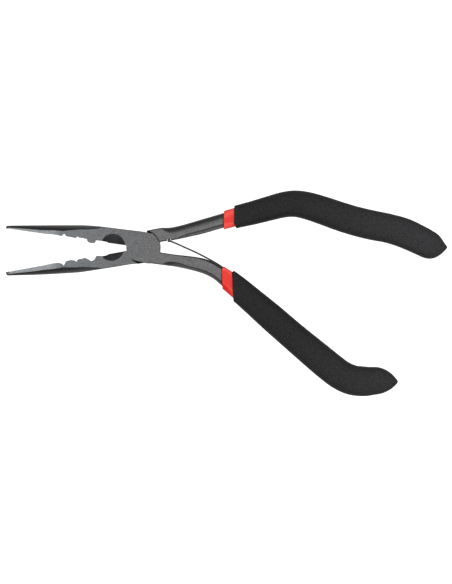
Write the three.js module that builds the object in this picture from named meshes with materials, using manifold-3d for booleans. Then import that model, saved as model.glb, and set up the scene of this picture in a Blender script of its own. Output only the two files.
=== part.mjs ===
// Long-nose fishing pliers, 216 mm long when closed, with crimping notches, a side cutter and a leaf spring.
// Millimetres, +Z up. The pliers lie flat: the jaws point along -X, the handles along +X, and the pivot is
// the Z axis. Z = 0 is the back face of the joint. The front lever is the upper jaw (+Y) and the lower
// handle (-Y), with its joint plate on top. The rear lever is the lower jaw and the upper handle, with its
// plate underneath.
import * as THREE from "three";
import { mergeVertices } from "three/addons/utils/BufferGeometryUtils.js";
import Module from "manifold-3d";

const wasm = await Module();
wasm.setup();

// ---- Fineness of the solids ----
const MERGE_DISTANCE = 1e-4; // points closer than this are one point
const ROUND_SIDES = 48;
const POCKET_SIDES = 40;
const NOSE_SIDES = 64;
const PIN_SIDES = 20;
const RING_SIDES = 16;
const RING_STEPS = 30;
const CAP_RINGS = 5;
const SPRING_STEPS = 18;

// ---- Driving dimensions ----
const JOINT_THICKNESS = 10;
const MIDDLE = JOINT_THICKNESS / 2; // height of the plane that halves every part
const JOINT_RADIUS = 8.2; // rounded ends of the two joint plates
const JOINT_HALF_WIDTH = 7.55; // flat sides of the joint
const LAP_GAP = 0.1; // between the two joint plates
const SHOULDER_GAP = 0.35; // between a joint plate's rim and the other lever's shoulder
const FRONT_LEAN = 7.76; // degrees from the X axis to each jaw's closing line, as the spring holds them open
const REAR_LEAN = 10.08;

const JAW_LENGTH = 68.4; // pivot to tip
const TOOTH_PITCH = 1.1; // fine cross serrations at the tip
const TOOTH_CREST = 0.04; // the closed jaws' serrations stay this far from the closing line
const TOOTH_DEPTH = 0.2;
const TOOTH_COUNT = 17;
const TOOTH_START = 48.5;

const CUTTER_EDGE_END = 17.3;
const CUTTER_EDGE_HALF = 0.2; // half the thickness of the cutting edge
const CUTTER_SLOPE = 0.68; // rise of the bevel per millimetre away from the edge

const RIVET_RADIUS = 3.2;
const RIVET_HEAD_RADIUS = 4.6;
const RIVET_HEAD_HEIGHT = 1.4;
const RUNNING_GAP = 0.12;

const FIT_GAP = 0.15; // between a coating and what it covers
const SLEEVE_THICKNESS = 0.8;
const GRIP_THICKNESS = 0.85;
const LOWER_SLEEVE_START = 39; // each coating ends on a plane of constant X, as dipping leaves it
const LOWER_GRIP_START = 44.1;
const UPPER_SLEEVE_START = 39.8;
const UPPER_GRIP_START = 44.9;

const SPRING_THICKNESS = 0.75;
const SPRING_WIDTH = 4;
const SPRING_GAP = 0.3;
const SPRING_SEAT_SHARE = 0.5; // beyond this share of its length the spring lies in a seat cut into the lever
const SPRING_RIVET_SHARE = 0.93;
const SPRING_RIVET_RADIUS = 0.9;
const SPRING_RIVET_HEAD = 1.5;
const SPRING_RIVET_HEAD_HEIGHT = 0.4;
const SPRING_RIVET_LIFT = 0.1; // from the spring up to the rivet's head
const SPRING_RIVET_DEPTH = 3;
const PAST = 1; // how far a cutting shape runs past the face that it opens
const WIDE = 200; // reach of cutting shapes that have no side of their own

// A handle's stations run from inside the joint to where the steel tang starts to close in:
// [x, y, half width, half thickness, squareness], where squareness 2 is an oval and 10 nearly a rectangle.
// The rounded end is endCap long and elliptical at an endSharpness of 1. Its tip is drawn endLift towards the
// handle's outer side, later for a larger endBend.
const LOWER_HANDLE = {
  outerSide: -1,
  endCap: 9.85,
  endSharpness: 1.6,
  endLift: 1,
  endBend: 2.5,
  stations: [
    [3.5, -4.9, 2.95, 5, 14],
    [9, -5.58, 3, 5, 14],
    [16.7, -6.65, 3, 4.85, 9],
    [22.7, -7.6, 3.3, 4.35, 6],
    [28.6, -8.85, 3.6, 4.05, 4.5],
    [32.6, -10.32, 3.6, 3.9, 4],
    [36.6, -12.6, 3.5, 3.8, 3.8],
    [40.6, -15.48, 3.8, 3.75, 3.6],
    [46.05, -19.8, 4.15, 3.75, 3.3],
    [54, -26.5, 4.45, 3.8, 3],
    [63.2, -34.45, 4.87, 3.85, 2.8],
    [74.15, -43.95, 5.05, 3.9, 2.7],
    [85.5, -53.5, 5.4, 3.95, 2.6],
    [91.8, -58.7, 5.5, 3.95, 2.6],
    [97.6, -63, 5.5, 3.95, 2.6],
    [103.2, -65.45, 5.5, 3.95, 2.6],
    [109.2, -66.1, 5.4, 3.9, 2.6],
    [114, -65.85, 4.95, 3.85, 2.6],
  ],
};
const UPPER_HANDLE = {
  outerSide: 1,
  endCap: 7.5,
  endSharpness: 1.4,
  endLift: 2.9,
  endBend: 6,
  stations: [
    [1.2, 4.85, 3.25, 5, 14],
    [8.8, 6.2, 3.4, 5, 14],
    [14.8, 6.85, 3.15, 4.85, 8],
    [20.7, 8.1, 3.25, 4.35, 5],
    [28.6, 10.15, 3.5, 4.05, 3.6],
    [36.5, 12.45, 3.52, 3.85, 3.3],
    [40.5, 13.6, 3.52, 3.75, 3.2],
    [46, 15.1, 3.65, 3.75, 3],
    [54.3, 17.1, 3.92, 3.8, 2.8],
    [62, 19.2, 4.15, 3.85, 2.8],
    [69.5, 21.1, 4.4, 3.85, 2.7],
    [75.4, 21.55, 4.65, 3.9, 2.7],
    [81.6, 20.45, 4.9, 3.9, 2.6],
    [89.3, 18.05, 5.1, 3.95, 2.6],
    [97.2, 15.3, 5.25, 3.95, 2.6],
    [105.1, 12.9, 5.33, 3.95, 2.6],
    [113, 11, 5.4, 3.95, 2.6],
    [120.9, 9.45, 5.32, 3.95, 2.6],
    [128.8, 7.1, 5.45, 3.95, 2.6],
    [136.6, 3.55, 5.25, 3.85, 2.6],
    [140.4, 1.6, 5.05, 3.8, 2.6],
  ],
};

// The spring's centreline, from its tip below the upper handle to its root on the lower handle.
const SPRING_LINE = [
  [12.75, 3.55],
  [13.2, 3.2],
  [16.5, 1.85],
  [20.7, -0.05],
  [24.8, -1.87],
  [28.8, -3.82],
  [32.8, -5.95],
  [36.8, -8.25],
  [40.4, -10.7],
  [44, -13.5],
  [47.6, -16.4],
];
const SPRING_NOTCH = { x: 12.8, width: 1.5, depth: 4.2 }; // where the spring's tip sits in the upper handle

// ---- Materials ----
const steel = new THREE.MeshStandardMaterial({ color: 0x5b5d60, roughness: 0.48, metalness: 0.9 });
const springSteel = new THREE.MeshStandardMaterial({ color: 0x77787a, roughness: 0.35, metalness: 1 });
const redVinyl = new THREE.MeshStandardMaterial({ color: 0xe63a33, roughness: 0.38, metalness: 0 });
const blackVinyl = new THREE.MeshStandardMaterial({ color: 0x1d1d1f, roughness: 0.92, metalness: 0 });

// ---- Solids ----
// Turns a closed three.js geometry into a solid.
function solid(geometry) {
  const bare = geometry.index ? geometry.toNonIndexed() : geometry;
  const positions = new THREE.BufferGeometry().setAttribute("position", bare.getAttribute("position"));
  const merged = mergeVertices(positions, MERGE_DISTANCE);
  const { array } = merged.attributes.position;
  return new wasm.Manifold(
    new wasm.Mesh({ numProp: 3, vertProperties: array, triVerts: new Uint32Array(merged.index.array) }),
  );
}

function meshOf(name, manifold, material) {
  const { numProp, vertProperties, triVerts } = manifold.getMesh();
  const count = vertProperties.length / numProp;
  const positions = new Float32Array(count * 3);
  for (let i = 0; i < count; i++) {
    positions.set(vertProperties.subarray(i * numProp, i * numProp + 3), i * 3);
  }
  const geometry = new THREE.BufferGeometry();
  geometry.setAttribute("position", new THREE.BufferAttribute(positions, 3));
  geometry.setIndex(new THREE.BufferAttribute(new Uint32Array(triVerts), 1));
  geometry.computeVertexNormals();
  const mesh = new THREE.Mesh(geometry, material);
  mesh.name = name;
  return mesh;
}

// A prism over an outline in X and Y.
function prism(points, bottom, top) {
  const shape = new THREE.Shape(points.map(([x, y]) => new THREE.Vector2(x, y)));
  const geometry = new THREE.ExtrudeGeometry(shape, { depth: top - bottom, bevelEnabled: false });
  return solid(geometry.translate(0, 0, bottom));
}

function box([x0, y0, z0], [x1, y1, z1]) {
  const geometry = new THREE.BoxGeometry(x1 - x0, y1 - y0, z1 - z0);
  return solid(geometry.translate((x0 + x1) / 2, (y0 + y1) / 2, (z0 + z1) / 2));
}

function drum(radius, bottom, top, sides = ROUND_SIDES, x = 0, y = 0) {
  const geometry = new THREE.CylinderGeometry(radius, radius, top - bottom, sides);
  return solid(geometry.rotateX(Math.PI / 2).translate(x, y, (bottom + top) / 2));
}

// A solid of revolution about Z from [radius, z] points that start and end on the axis.
function turned(profile, sides = ROUND_SIDES) {
  const points = profile.map(([r, z]) => new THREE.Vector2(r, z));
  return solid(new THREE.LatheGeometry(points, sides).rotateX(Math.PI / 2));
}

// ---- Jaws, made in a lever's own frame: tip at -X, closing line on the X axis, the jaw on the +Y side ----
// back is the outer edge and face the gripping edge from the serrations to the cutter, both seen from the
// front as [distance from the pivot, distance from the closing line]. The cutter's edge lies at cuttingEdge,
// and its round pockets' middle at pocket.along, pocket.beyond the closing line. noseHeight flattens the
// round nose.
const FRONT_JAW = {
  back: [
    [JAW_LENGTH, 1.3], [67.8, 1.65], [64, 2.25], [58, 3.12], [52, 3.97], [46, 4.83], [40, 5.67], [34, 6.5],
    [31, 6.82], [28, 7.05], [22, 7.33], [13, 7.48], [4, 7.65], [0, 7.65],
  ],
  face: [
    [47, 0.26], [46, 0.34], [43, 0.36], [42, 0.18], [40.8, 0.16],
    [39.5, 1.42], [38.3, 0.32], [36, 0.22], [33.8, 0.06],
    [32.9, 0.88], [32, 0.52], [30, 0.52], [27.9, 0.32],
    [27.5, -0.6], [27, -1.1], [26.4, -1.33], [25.4, -1.25], [24.6, -1.25], [24.1, -1], [23.7, 0.3],
    [22.5, 0.42], [20, 0.36], [18, 0.21],
  ],
  cuttingEdge: -0.15,
  pocket: { along: 14.72, beyond: 1.29, radius: 5.9 },
  noseHeight: 0.98,
};
const REAR_JAW = {
  back: [
    [JAW_LENGTH + 0.4, 1.65], [68.2, 2.04], [61, 3.12], [55, 4.03], [49, 4.83], [43, 5.56], [37, 6.25],
    [34, 6.58], [31, 6.75], [25, 6.84], [16, 7.02], [8, 7.1], [4, 7.4], [0, 7.5],
  ],
  face: [
    [46.5, 0.08], [45.3, -0.03], [43, 0.14], [42.4, 0.14],
    [41.2, 0.7], [40.3, 1.68], [39.7, 1.6], [38.6, 0.16], [37, -0.06], [35.5, 0],
    [34.6, 0.34], [33.6, 1.15], [32.5, 0.26], [30.8, 0.24], [29.1, 0.12],
    [28.1, 0.7], [27.3, 1.45], [26.6, 2.1], [25.8, 2.2], [25, 1.95], [24.2, 1.35], [23.5, 0.22],
    [22, 0.24], [21, 0.66], [19.5, 0.72], [18.2, 0.6],
  ],
  cuttingEdge: 0.22,
  pocket: { along: 15.38, beyond: 2.23, radius: 6.1 },
  noseHeight: 0.95,
};

// Half the jaws' thickness along their flanks, which close in towards the tip.
const FLANKS = [
  [JAW_LENGTH + PAST, 0.9],
  [67, 1.65],
  [60, 2.6],
  [50, 3.89],
  [40, MIDDLE],
  [-PAST, MIDDLE],
];

// The round nose follows the jaw's back up to here and then flares out, clear of the joint.
const NOSE_LENGTH_START = 28;
const NOSE_ALLOWANCE = 0.04;
const NOSE_FLARE = [
  [24, 7.9],
  [20, 9],
  [12, 14],
  [-12, 14],
  [-12, 0],
];

function jaw({ back, face, cuttingEdge, pocket, noseHeight }) {
  const serrations = [];
  for (let i = TOOTH_COUNT; i > 0; i--) {
    const u = TOOTH_START + i * TOOTH_PITCH;
    serrations.push([u, TOOTH_CREST], [u - TOOTH_PITCH / 2, TOOTH_CREST + TOOTH_DEPTH]);
  }
  const tip = back[0][0];
  const outline = [
    [tip, TOOTH_CREST],
    ...serrations,
    [TOOTH_START, TOOTH_CREST],
    ...face,
    [CUTTER_EDGE_END, cuttingEdge],
    [0, cuttingEdge],
    ...back.toReversed(),
  ];
  const sides = [...FLANKS.map(([u, t]) => [-u, t]), ...FLANKS.toReversed().map(([u, t]) => [-u, -t])];
  const wedge = prism(sides, -WIDE, WIDE).rotate([90, 0, 0]).translate([0, 0, MIDDLE]);

  const nose = back.filter(([u]) => u >= NOSE_LENGTH_START).map(([u, v]) => [u, v + NOSE_ALLOWANCE]);
  const profile = [[tip, 0], ...nose, ...NOSE_FLARE].map(([u, r]) => [r, u]);
  const cone = turned(profile.toReversed(), NOSE_SIDES).rotate([0, -90, 0]).scale([1, 1, noseHeight]);

  const blank = prism(outline.map(([u, v]) => [-u, v]), 0, JOINT_THICKNESS);
  return blank.intersect(wedge).intersect(cone.translate([0, 0, MIDDLE])).subtract(cutterPockets(pocket));
}

// The two round pockets, one in each flank, whose floors slope down to the cutting edge.
function cutterPockets({ along, beyond, radius }) {
  const reach = radius + PAST;
  const rise = (v) => CUTTER_EDGE_HALF + CUTTER_SLOPE * v;
  const section = [
    [-reach, MIDDLE + PAST],
    [-reach, rise(0)],
    [0, rise(0)],
    [reach, rise(reach)],
    [reach, MIDDLE + PAST],
  ];
  const round = drum(radius, -PAST, JOINT_THICKNESS + PAST, POCKET_SIDES, -along, -beyond);
  const sloped = [1, -1].map((side) => {
    const outline = section.map(([v, z]) => [v, side * z]);
    const bevel = prism(outline, -reach, reach).rotate([90, 0, 90]);
    return bevel.translate([-along, 0, MIDDLE]);
  });
  return round.intersect(sloped[0].add(sloped[1]));
}

// ---- Handles ----
// A closed bar through a handle's stations, larger by grow all round, with a rounded end.
function bar({ stations, outerSide, endCap, endSharpness, endLift, endBend }, grow) {
  const places = new THREE.CatmullRomCurve3(stations.map(([x, y]) => new THREE.Vector3(x, y, MIDDLE)));
  const sizes = new THREE.CatmullRomCurve3(stations.map(([, , w, t, q]) => new THREE.Vector3(w, t, q)));
  const rings = [];
  for (let i = 0; i <= RING_STEPS; i++) {
    const t = i / RING_STEPS;
    rings.push(ring(places.getPoint(t), places.getTangent(t), sizes.getPoint(t), grow));
  }
  const end = places.getPoint(1);
  const ahead = places.getTangent(1);
  const outward = new THREE.Vector3(-ahead.y, ahead.x, 0).multiplyScalar(outerSide);
  const beyond = (share) => end.clone()
    .addScaledVector(ahead, (endCap + grow) * share)
    .addScaledVector(outward, endLift * share ** endBend);
  for (let i = 1; i <= CAP_RINGS; i++) {
    const angle = (i / (CAP_RINGS + 0.5)) * (Math.PI / 2);
    const narrowing = Math.cos(angle) ** endSharpness;
    const centre = beyond(Math.sin(angle));
    rings.push(ring(centre, ahead, sizes.getPoint(1), grow, narrowing, Math.sqrt(narrowing)));
  }
  return solid(skin(rings, places.getPoint(0), beyond(1)));
}

// One oval of points square to the handle's direction.
function ring(centre, ahead, size, grow, narrow = 1, flatten = 1) {
  const { x: halfWidth, y: halfThickness, z: squareness } = size;
  const across = new THREE.Vector3(-ahead.y, ahead.x, 0);
  const bend = (value) => Math.sign(value) * Math.abs(value) ** (2 / squareness);
  const points = [];
  for (let i = 0; i < RING_SIDES; i++) {
    const angle = ((i + 0.5) / RING_SIDES) * Math.PI * 2;
    const sideways = (halfWidth + grow) * narrow * bend(Math.cos(angle));
    const up = (halfThickness + grow) * flatten * bend(Math.sin(angle));
    points.push(centre.clone().addScaledVector(across, sideways).add(new THREE.Vector3(0, 0, up)));
  }
  return points;
}

// Joins rings of equal length into one closed surface, fanned shut at both ends.
function skin(rings, first, last) {
  const positions = [first, ...rings.flat(), last].flatMap((p) => p.toArray());
  const at = (r, i) => 1 + r * RING_SIDES + (i % RING_SIDES);
  const end = rings.length * RING_SIDES + 1;
  const index = [];
  for (let i = 0; i < RING_SIDES; i++) {
    index.push(0, at(0, i + 1), at(0, i), end, at(rings.length - 1, i), at(rings.length - 1, i + 1));
    for (let r = 0; r < rings.length - 1; r++) {
      index.push(at(r, i), at(r, i + 1), at(r + 1, i));
      index.push(at(r, i + 1), at(r + 1, i + 1), at(r + 1, i));
    }
  }
  const geometry = new THREE.BufferGeometry();
  geometry.setAttribute("position", new THREE.Float32BufferAttribute(positions, 3));
  geometry.setIndex(index);
  return geometry;
}

// A coating over a handle from the plane X = start to its end, open at the front.
function coating(handle, inner, outer, start) {
  const keep = box([start, -WIDE, -WIDE], [WIDE, WIDE, WIDE]);
  return bar(handle, outer).intersect(keep).subtract(bar(handle, inner));
}

const sleeveInner = FIT_GAP;
const sleeveOuter = sleeveInner + SLEEVE_THICKNESS;
const gripInner = sleeveOuter + FIT_GAP;
const gripOuter = gripInner + GRIP_THICKNESS;

// ---- Pivot rivet, countersunk flush into both faces ----
function pivotRivet(gap) {
  const head = RIVET_HEAD_HEIGHT;
  const end = gap > 0 ? PAST : 0; // the holes run past both faces
  return turned([
    [0, -end],
    [RIVET_HEAD_RADIUS + gap, -end],
    [RIVET_HEAD_RADIUS + gap, 0],
    [RIVET_RADIUS + gap, head],
    [RIVET_RADIUS + gap, JOINT_THICKNESS - head],
    [RIVET_HEAD_RADIUS + gap, JOINT_THICKNESS],
    [RIVET_HEAD_RADIUS + gap, JOINT_THICKNESS + end],
    [0, JOINT_THICKNESS + end],
  ]);
}

// ---- Levers ----
// layer 1 puts the joint plate on top and cuts away underneath; layer -1 is the other way up.
function lever({ jawShape, side, lean, handle, layer }) {
  const plate = drum(JOINT_RADIUS, 0, JOINT_THICKNESS).intersect(
    box([-WIDE, -JOINT_HALF_WIDTH, -PAST], [WIDE, JOINT_HALF_WIDTH, JOINT_THICKNESS + PAST]),
  );
  const upperJaw = jaw(jawShape);
  const head = plate.add(side > 0 ? upperJaw : upperJaw.mirror([0, 1, 0])).rotate([0, 0, -side * lean]);
  const cut = JOINT_RADIUS + SHOULDER_GAP;
  const lap = layer > 0
    ? drum(cut, -PAST, MIDDLE + LAP_GAP / 2)
    : drum(cut, MIDDLE - LAP_GAP / 2, JOINT_THICKNESS + PAST);
  return head.add(bar(handle, 0)).subtract(lap).subtract(pivotRivet(RUNNING_GAP));
}

// ---- Return spring: a flat leaf on edge between the handles ----
const springCurve = new THREE.CatmullRomCurve3(SPRING_LINE.map(([x, y]) => new THREE.Vector3(x, y, MIDDLE)));

function leaf(thickness, width, from = 0) {
  const left = [];
  const right = [];
  for (let i = 0; i <= SPRING_STEPS; i++) {
    const t = from + (i / SPRING_STEPS) * (1 - from);
    const { x, y } = springCurve.getPoint(t);
    const ahead = springCurve.getTangent(t);
    left.push([x - (ahead.y * thickness) / 2, y + (ahead.x * thickness) / 2]);
    right.push([x + (ahead.y * thickness) / 2, y - (ahead.x * thickness) / 2]);
  }
  return prism([...left, ...right.toReversed()], MIDDLE - width / 2, MIDDLE + width / 2);
}

// The small rivet that holds the spring's root, standing square to it.
const root = springCurve.getPoint(SPRING_RIVET_SHARE);
const rootAhead = springCurve.getTangent(SPRING_RIVET_SHARE);
const rootAngle = THREE.MathUtils.radToDeg(Math.atan2(rootAhead.y, rootAhead.x));

function springRivet(gap) {
  const top = SPRING_THICKNESS / 2 + SPRING_RIVET_LIFT;
  const pin = turned([
    [0, -SPRING_RIVET_DEPTH - gap],
    [SPRING_RIVET_RADIUS + gap, -SPRING_RIVET_DEPTH - gap],
    [SPRING_RIVET_RADIUS + gap, top - gap],
    [SPRING_RIVET_HEAD + gap, top - gap],
    [SPRING_RIVET_HEAD + gap, top + SPRING_RIVET_HEAD_HEIGHT + gap],
    [0, top + SPRING_RIVET_HEAD_HEIGHT + gap],
  ], PIN_SIDES);
  return pin.rotate([-90, 0, 0]).rotate([0, 0, rootAngle]).translate(root.toArray());
}

// ---- Assembly ----
const springRoom = leaf(
  SPRING_THICKNESS + 2 * SPRING_GAP,
  SPRING_WIDTH + 2 * SPRING_GAP,
  SPRING_SEAT_SHARE,
);
const springNotch = box(
  [SPRING_NOTCH.x - SPRING_NOTCH.width / 2, 0, -PAST],
  [SPRING_NOTCH.x + SPRING_NOTCH.width / 2, SPRING_NOTCH.depth, JOINT_THICKNESS + PAST],
);
const frontLever = lever({ jawShape: FRONT_JAW, side: 1, lean: FRONT_LEAN, handle: LOWER_HANDLE, layer: 1 })
  .subtract(springRoom)
  .subtract(springRivet(FIT_GAP));
const rearLever = lever({ jawShape: REAR_JAW, side: -1, lean: REAR_LEAN, handle: UPPER_HANDLE, layer: -1 })
  .subtract(springNotch);
const lowerSleeve = coating(LOWER_HANDLE, sleeveInner, sleeveOuter, LOWER_SLEEVE_START)
  .subtract(springRoom)
  .subtract(springRivet(FIT_GAP));
const upperSleeve = coating(UPPER_HANDLE, sleeveInner, sleeveOuter, UPPER_SLEEVE_START);
const lowerGrip = coating(LOWER_HANDLE, gripInner, gripOuter, LOWER_GRIP_START)
  .subtract(springRivet(FIT_GAP));
const upperGrip = coating(UPPER_HANDLE, gripInner, gripOuter, UPPER_GRIP_START);
const springLeaf = leaf(SPRING_THICKNESS, SPRING_WIDTH).subtract(springRivet(FIT_GAP));

const pliers = new THREE.Group();
pliers.add(
  meshOf("front_lever", frontLever, steel),
  meshOf("rear_lever", rearLever, steel),
  meshOf("pivot_rivet", pivotRivet(0), steel),
  meshOf("return_spring", springLeaf, springSteel),
  meshOf("spring_rivet", springRivet(0), springSteel),
  meshOf("lower_inner_sleeve", lowerSleeve, redVinyl),
  meshOf("upper_inner_sleeve", upperSleeve, redVinyl),
  meshOf("lower_outer_grip", lowerGrip, blackVinyl),
  meshOf("upper_outer_grip", upperGrip, blackVinyl),
);

export default pliers;
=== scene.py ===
"""Long-nose fishing pliers: the looks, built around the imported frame.

Shapes are worked out in millimetres in the frame's own axes (jaws at -X, handles at +X, pivot along +Z,
Z = 0 on the joint's back face) and turned into metres when a piece is finished. Each lever is made like the
real one: a forged blank with its edges eased, then the jaw's face, the cutter and the joint machined into it.
"""
import math

import bmesh
import bpy
import numpy as np
from mathutils import Matrix, Vector


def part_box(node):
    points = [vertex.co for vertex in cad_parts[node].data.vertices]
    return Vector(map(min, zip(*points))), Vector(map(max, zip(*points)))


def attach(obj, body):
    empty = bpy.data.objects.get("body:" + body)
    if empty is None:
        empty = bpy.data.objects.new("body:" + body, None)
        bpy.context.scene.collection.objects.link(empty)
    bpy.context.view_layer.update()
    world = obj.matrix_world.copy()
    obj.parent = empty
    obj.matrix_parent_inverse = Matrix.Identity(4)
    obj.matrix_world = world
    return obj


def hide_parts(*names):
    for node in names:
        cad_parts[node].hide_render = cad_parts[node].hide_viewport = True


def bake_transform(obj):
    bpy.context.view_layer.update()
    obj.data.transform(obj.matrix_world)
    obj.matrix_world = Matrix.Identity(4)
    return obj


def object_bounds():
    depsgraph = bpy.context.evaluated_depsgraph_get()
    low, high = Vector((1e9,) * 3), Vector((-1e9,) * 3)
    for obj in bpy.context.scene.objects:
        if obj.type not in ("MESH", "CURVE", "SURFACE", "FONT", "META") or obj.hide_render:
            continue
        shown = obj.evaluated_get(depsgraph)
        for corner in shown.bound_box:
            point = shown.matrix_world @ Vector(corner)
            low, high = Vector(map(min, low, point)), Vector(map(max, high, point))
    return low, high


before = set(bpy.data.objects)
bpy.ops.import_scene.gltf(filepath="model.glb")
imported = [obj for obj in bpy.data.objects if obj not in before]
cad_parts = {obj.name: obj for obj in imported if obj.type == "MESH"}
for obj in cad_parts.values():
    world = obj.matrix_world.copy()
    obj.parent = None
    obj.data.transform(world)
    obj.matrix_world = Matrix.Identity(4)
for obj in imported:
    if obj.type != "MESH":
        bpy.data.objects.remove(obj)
cad_low, cad_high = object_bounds()

MM = 0.001

# ---- Driving dimensions, in millimetres ----
RIVET_LOW, RIVET_HIGH = (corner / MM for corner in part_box("pivot_rivet"))
JOINT_THICKNESS = RIVET_HIGH.z - RIVET_LOW.z
MIDDLE = JOINT_THICKNESS / 2
RIVET_HEAD_RADIUS = RIVET_HIGH.x
RIVET_RADIUS = 3.2
RIVET_HEAD_HEIGHT = 1.4
RIVET_FIT = 0.01
JOINT_RADIUS = 8.2
JOINT_HALF_WIDTH = 7.55
LAP_GAP = 0.1
JAW_SHOULDER_GAP = 0.06
SHOULDER_GAP = 0.45
FRONT_LEAN = math.radians(7.76)
REAR_LEAN = math.radians(10.08)

JAW_LENGTH = 68.4
REAR_JAW_EXTRA = 0.4  # the rear jaw is this much longer than the front one
TOOTH_PITCH = 1.1
TOOTH_CREST = 0.04
TOOTH_DEPTH = 0.3
TOOTH_COUNT = 17
TOOTH_START = 48.5
CUTTER_DRAFT = 0.1
CUTTER_EDGE_END = 17.3
CUTTER_EDGE_HALF = 0.2
CUTTER_SLOPE = 0.68

FIT_GAP = 0.15
SLEEVE_THICKNESS = 0.8
GRIP_THICKNESS = 0.85
SPRING_THICKNESS = 0.85
SPRING_WIDTH = 4
SPRING_GAP = 0.3

EDGE_VOXEL = 0.2  # grain of the levers' eased surfaces
EDGE_PASSES = 2
EDGE_SOFTENING = 0.5
ARC_SIDES = 160
PAST = 1.0  # how far a cutting shape runs past the face that it opens
WIDE = 30.0  # half the size of a cutting shape that has to reach right across a lever

# Meshes are shaded smooth up to these angles between faces, in degrees.
SMOOTH_ANGLE = 40
LEVER_SMOOTH_ANGLE = 32
RIVET_SMOOTH_ANGLE = 25
COATING_SMOOTH_ANGLE = 50


# ---- Meshes ----
def mesh_object(name, vertices, faces):
    """A new object from points in millimetres."""
    mesh = bpy.data.meshes.new(name)
    mesh.from_pydata([tuple(v) for v in vertices], [], faces)
    piece = bpy.data.objects.new(name, mesh)
    bpy.context.scene.collection.objects.link(piece)
    return piece


def applied(piece):
    """The piece with its modifiers turned into mesh."""
    graph = bpy.context.evaluated_depsgraph_get()
    mesh = bpy.data.meshes.new_from_object(piece.evaluated_get(graph))
    piece.modifiers.clear()
    piece.data = mesh
    return piece


def combined(piece, operation, *others):
    """The piece joined with, cut by or kept inside each of the others, which are used up."""
    for other in others:
        modifier = piece.modifiers.new(operation, "BOOLEAN")
        modifier.operation = operation
        modifier.solver = "MANIFOLD"
        modifier.object = other
        applied(piece)
        bpy.data.objects.remove(other)
    return piece


def outward(piece):
    """The piece with all its faces turned to look out."""
    mesh = bmesh.new()
    mesh.from_mesh(piece.data)
    bmesh.ops.recalc_face_normals(mesh, faces=mesh.faces)
    mesh.to_mesh(piece.data)
    mesh.free()
    return piece


def prism(points, bottom, top):
    """A straight-sided solid over an outline given anticlockwise in X and Y."""
    n = len(points)
    vertices = [(x, y, bottom) for x, y in points] + [(x, y, top) for x, y in points]
    sides = [(i, (i + 1) % n, n + (i + 1) % n, n + i) for i in range(n)]
    return mesh_object("prism", vertices, [tuple(reversed(range(n))), tuple(range(n, 2 * n)), *sides])


def block(x_range, y_range, z_range):
    """A box from its range on each axis."""
    (x0, x1), (y0, y1) = x_range, y_range
    return prism([(x0, y0), (x1, y0), (x1, y1), (x0, y1)], *z_range)


def turned(profile, sides=ARC_SIDES):
    """A solid of revolution about Z from (radius, z) points that run upwards from axis to axis."""
    inner = profile[1:-1]
    vertices = [(0, 0, profile[0][1])]
    for radius, z in inner:
        for i in range(sides):
            angle = 2 * math.pi * i / sides
            vertices.append((radius * math.cos(angle), radius * math.sin(angle), z))
    vertices.append((0, 0, profile[-1][1]))
    top = len(vertices) - 1
    faces = skin_faces(len(inner), sides, 1)
    for i in range(sides):
        j = (i + 1) % sides
        last = top - sides
        faces += [(0, 1 + j, 1 + i), (last + i, last + j, top)]
    return mesh_object("turned", vertices, faces)


def drum(radius, bottom, top, x=0.0, y=0.0, top_radius=None):
    """An upright cylinder, or a cone's stump where the top has its own radius."""
    top_radius = radius if top_radius is None else top_radius
    piece = turned([(0, bottom), (radius, bottom), (top_radius, top), (0, top)])
    piece.data.transform(Matrix.Translation((x, y, 0)))
    return piece


def skin_faces(ring_count, ring_size, offset=0):
    """Quads that join equal rings one after another."""
    faces = []
    for r in range(ring_count - 1):
        a, b = offset + r * ring_size, offset + (r + 1) * ring_size
        for i in range(ring_size):
            j = (i + 1) % ring_size
            faces.append((a + i, a + j, b + j, b + i))
    return faces


def fan(ring_start, ring_size, point):
    """Triangles from a ring to one point."""
    return [(ring_start + i, ring_start + (i + 1) % ring_size, point) for i in range(ring_size)]


def finish_mesh(piece, name, smooth_angle=SMOOTH_ANGLE):
    """Names the piece, brings it to metres and shades it smooth up to an edge angle."""
    piece.name = name
    piece.data.name = name
    piece.data.transform(Matrix.Scale(MM, 4))
    piece.data.shade_smooth()
    mesh = bmesh.new()
    mesh.from_mesh(piece.data)
    sharp = math.radians(smooth_angle)
    for edge in mesh.edges:
        edge.smooth = len(edge.link_faces) == 2 and edge.calc_face_angle(0) < sharp
    mesh.to_mesh(piece.data)
    mesh.free()
    return piece


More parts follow.
